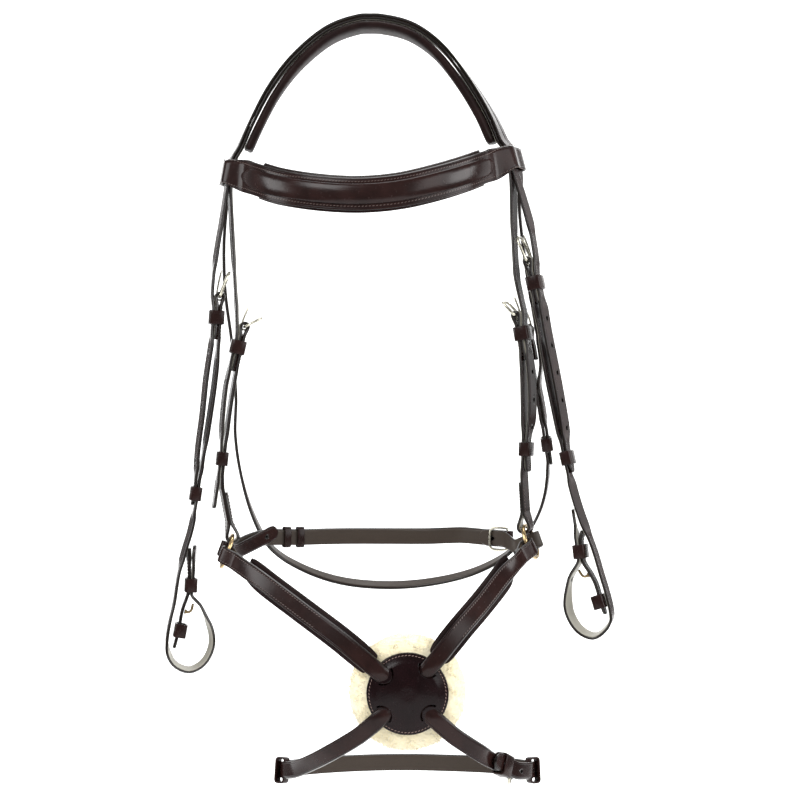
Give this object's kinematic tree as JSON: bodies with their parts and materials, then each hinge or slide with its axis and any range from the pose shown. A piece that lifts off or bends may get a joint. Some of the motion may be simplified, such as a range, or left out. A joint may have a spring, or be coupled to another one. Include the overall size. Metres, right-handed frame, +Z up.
{
  "type": "bridle with figure eight noseband",
  "caption": "Leather bridle with a figure eight noseband: padded crossing nose straps, nose disc on fleece, rings, jaw strap, hook stud bit loops and a throat lash.",
  "frame": {"origin": "centre of the flat underside of the poll pad, where the bridle rests on the poll or hangs on a rail", "axes": "+Z up along the hanging bridle, -Y to the front of the head, +X to the right of the picture"},
  "size_m": [0.4236, 0.2359, 0.7248],
  "materials": {
    "leather": "polished dark brown",
    "lining_leather": "soft, matt",
    "steel": "bright nickel",
    "brass": "polished",
    "fleece": "cream fleece"
  },
  "bodies": {
    "bridle": {"arm_pad_left": "lining_leather", "arm_pad_right": "lining_leather", "bit_keeper_left": "leather", "bit_keeper_right": "leather", "browband": "leather", "browband_lining": "lining_leather", "browband_roll": "leather", "cheek_keeper_left": "leather", "cheek_keeper_right": "leather", "cheekpiece_left": "leather", "cheekpiece_right": "leather", "chin_keeper": "leather", "cross_strap_left": "leather", "cross_strap_right": "leather", "disc_lining": "lining_leather", "fleece_pad": "fleece", "headpiece": "leather", "hook_stud_left": "brass", "hook_stud_right": "brass", "jaw_billet": "leather", "jaw_strap": "leather", "nose_disc": "leather", "noseband_cheek_left": "leather", "noseband_cheek_right": "leather", "noseband_keeper_left": "leather", "noseband_keeper_right": "leather", "poll_pad": "lining_leather", "sliphead": "leather", "stud_tab_left": "leather", "stud_tab_right": "leather", "tip_keeper_left": "leather", "tip_keeper_right": "leather"},
    "buckle_frame_cheek_left": {"buckle_frame_cheek_left": "steel"},
    "buckle_frame_cheek_right": {"buckle_frame_cheek_right": "steel"},
    "buckle_frame_chin": {"buckle_frame_chin": "steel"},
    "buckle_frame_jaw": {"buckle_frame_jaw": "steel"},
    "buckle_frame_noseband_left": {"buckle_frame_noseband_left": "steel"},
    "buckle_frame_noseband_right": {"buckle_frame_noseband_right": "steel"},
    "buckle_frame_throat": {"buckle_frame_throat": "steel"},
    "buckle_tongue_cheek_left": {"buckle_tongue_cheek_left": "steel"},
    "buckle_tongue_cheek_right": {"buckle_tongue_cheek_right": "steel"},
    "buckle_tongue_chin": {"buckle_tongue_chin": "steel"},
    "buckle_tongue_jaw": {"buckle_tongue_jaw": "steel"},
    "buckle_tongue_noseband_left": {"buckle_tongue_noseband_left": "steel"},
    "buckle_tongue_noseband_right": {"buckle_tongue_noseband_right": "steel"},
    "buckle_tongue_throat": {"buckle_tongue_throat": "steel"},
    "cheek_runner_left": {"cheek_runner_left": "leather"},
    "cheek_runner_right": {"cheek_runner_right": "leather"},
    "chin_runner_left": {"chin_runner_left": "leather"},
    "chin_runner_right": {"chin_runner_right": "leather"},
    "jaw_runner_inner": {"jaw_runner_inner": "leather"},
    "jaw_runner_outer": {"jaw_runner_outer": "leather"},
    "noseband_runner_left": {"noseband_runner_left": "leather"},
    "noseband_runner_right": {"noseband_runner_right": "leather"},
    "ring_left": {"ring_left": "brass"},
    "ring_right": {"ring_right": "brass"},
    "throat_runner": {"throat_runner": "leather"}
  },
  "joints": [
    {"name": "buckle_frame_cheek_left_hinge", "type": "hinge", "parent": "bridle", "child": "buckle_frame_cheek_left", "pos_m": [-0.14231, -0.00943, -0.2518], "axis": [-0.1392, 0.9903, 0], "range_deg": [-4, 3.5]},
    {"name": "buckle_frame_cheek_right_hinge", "type": "hinge", "parent": "bridle", "child": "buckle_frame_cheek_right", "pos_m": [0.15017, -0.01518, -0.21857], "axis": [0.309, 0.9511, 0], "range_deg": [-2.5, 2]},
    {"name": "buckle_frame_chin_hinge", "type": "hinge", "parent": "bridle", "child": "buckle_frame_chin", "pos_m": [0.1309, -0.058, -0.69109], "axis": [-0.2193, -0.3195, -0.9219], "range_deg": [-45, 9]},
    {"name": "buckle_frame_jaw_hinge", "type": "hinge", "parent": "bridle", "child": "buckle_frame_jaw", "pos_m": [0.13317, 0.05, -0.48402], "axis": [0.0267, -0.0209, 0.9994], "range_deg": [0, 45]},
    {"name": "buckle_frame_noseband_left_hinge", "type": "hinge", "parent": "bridle", "child": "buckle_frame_noseband_left", "pos_m": [-0.11917, -0.00618, -0.27983], "axis": [-0.1392, 0.9903, 0], "range_deg": [-19, 45]},
    {"name": "buckle_frame_noseband_right_hinge", "type": "hinge", "parent": "bridle", "child": "buckle_frame_noseband_right", "pos_m": [0.13933, -0.01166, -0.26949], "axis": [0.309, 0.9511, 0], "range_deg": [-45, 12]},
    {"name": "buckle_frame_throat_hinge", "type": "hinge", "parent": "bridle", "child": "buckle_frame_throat", "pos_m": [0.15238, 0.03234, -0.2808], "axis": [-0.0201, 0.9926, 0.1202], "range_deg": [-45, 10]},
    {"name": "buckle_tongue_cheek_left_hinge", "type": "hinge", "parent": "bridle", "child": "buckle_tongue_cheek_left", "pos_m": [-0.14231, -0.00943, -0.2518], "axis": [-0.1392, 0.9903, 0], "range_deg": [-8, 4.5]},
    {"name": "buckle_tongue_cheek_right_hinge", "type": "hinge", "parent": "bridle", "child": "buckle_tongue_cheek_right", "pos_m": [0.15017, -0.01518, -0.21857], "axis": [0.309, 0.9511, 0], "range_deg": [-1, 11]},
    {"name": "buckle_tongue_chin_hinge", "type": "hinge", "parent": "bridle", "child": "buckle_tongue_chin", "pos_m": [0.1309, -0.058, -0.69109], "axis": [-0.2193, -0.3195, -0.9219], "range_deg": [-9, 9]},
    {"name": "buckle_tongue_jaw_hinge", "type": "hinge", "parent": "bridle", "child": "buckle_tongue_jaw", "pos_m": [0.13317, 0.05, -0.48402], "axis": [0.0267, -0.0209, 0.9994], "range_deg": [-20, 15]},
    {"name": "buckle_tongue_noseband_left_hinge", "type": "hinge", "parent": "bridle", "child": "buckle_tongue_noseband_left", "pos_m": [-0.11917, -0.00618, -0.27983], "axis": [-0.1392, 0.9903, 0], "range_deg": [-22, 20]},
    {"name": "buckle_tongue_noseband_right_hinge", "type": "hinge", "parent": "bridle", "child": "buckle_tongue_noseband_right", "pos_m": [0.13933, -0.01166, -0.26949], "axis": [0.309, 0.9511, 0], "range_deg": [-11, 10]},
    {"name": "buckle_tongue_throat_hinge", "type": "hinge", "parent": "bridle", "child": "buckle_tongue_throat", "pos_m": [0.15238, 0.03234, -0.2808], "axis": [-0.0201, 0.9926, 0.1202], "range_deg": [-10, 10]},
    {"name": "cheek_runner_left_slide", "type": "slide", "parent": "bridle", "child": "cheek_runner_left", "axis": [-0.145, -0.0204, -0.9892], "range_m": [-0.0045, 0.01]},
    {"name": "cheek_runner_right_slide", "type": "slide", "parent": "bridle", "child": "cheek_runner_right", "axis": [0.2134, -0.0693, -0.9745], "range_m": [-0.003, 0.01]},
    {"name": "chin_runner_left_slide", "type": "slide", "parent": "bridle", "child": "chin_runner_left", "axis": [-0.0293, 0.9926, -0.1181], "range_m": [-0.0015, 0.006]},
    {"name": "chin_runner_right_slide", "type": "slide", "parent": "bridle", "child": "chin_runner_right", "axis": [-0.045, -0.995, 0.0893], "range_m": [-0.002, 0.002]},
    {"name": "jaw_runner_inner_slide", "type": "slide", "parent": "bridle", "child": "jaw_runner_inner", "axis": [0.9371, 0.349, -0.0082], "range_m": [-0.0025, 0.005]},
    {"name": "jaw_runner_outer_slide", "type": "slide", "parent": "bridle", "child": "jaw_runner_outer", "axis": [0.8963, 0.4427, -0.0268], "range_m": [-0.005, 0.0025]},
    {"name": "noseband_runner_left_slide", "type": "slide", "parent": "bridle", "child": "noseband_runner_left", "axis": [-0.1008, -0.0142, -0.9948], "range_m": [-0.005, 0.01]},
    {"name": "noseband_runner_right_slide", "type": "slide", "parent": "bridle", "child": "noseband_runner_right", "axis": [-0.0303, 0.0099, -0.9995], "range_m": [-0.0035, 0.0035]},
    {"name": "ring_left_spin", "type": "hinge", "parent": "bridle", "child": "ring_left", "pos_m": [-0.13545, -0.00847, -0.49196], "axis": [0.9305, 0.1308, -0.342], "continuous": true},
    {"name": "ring_right_spin", "type": "hinge", "parent": "bridle", "child": "ring_right", "pos_m": [0.15133, -0.01555, -0.4825], "axis": [0.8937, -0.2904, 0.342], "continuous": true},
    {"name": "throat_runner_slide", "type": "slide", "parent": "bridle", "child": "throat_runner", "axis": [-0.1455, -0.1504, 0.9779], "range_m": [-0.01, 0.005]}
  ]
}
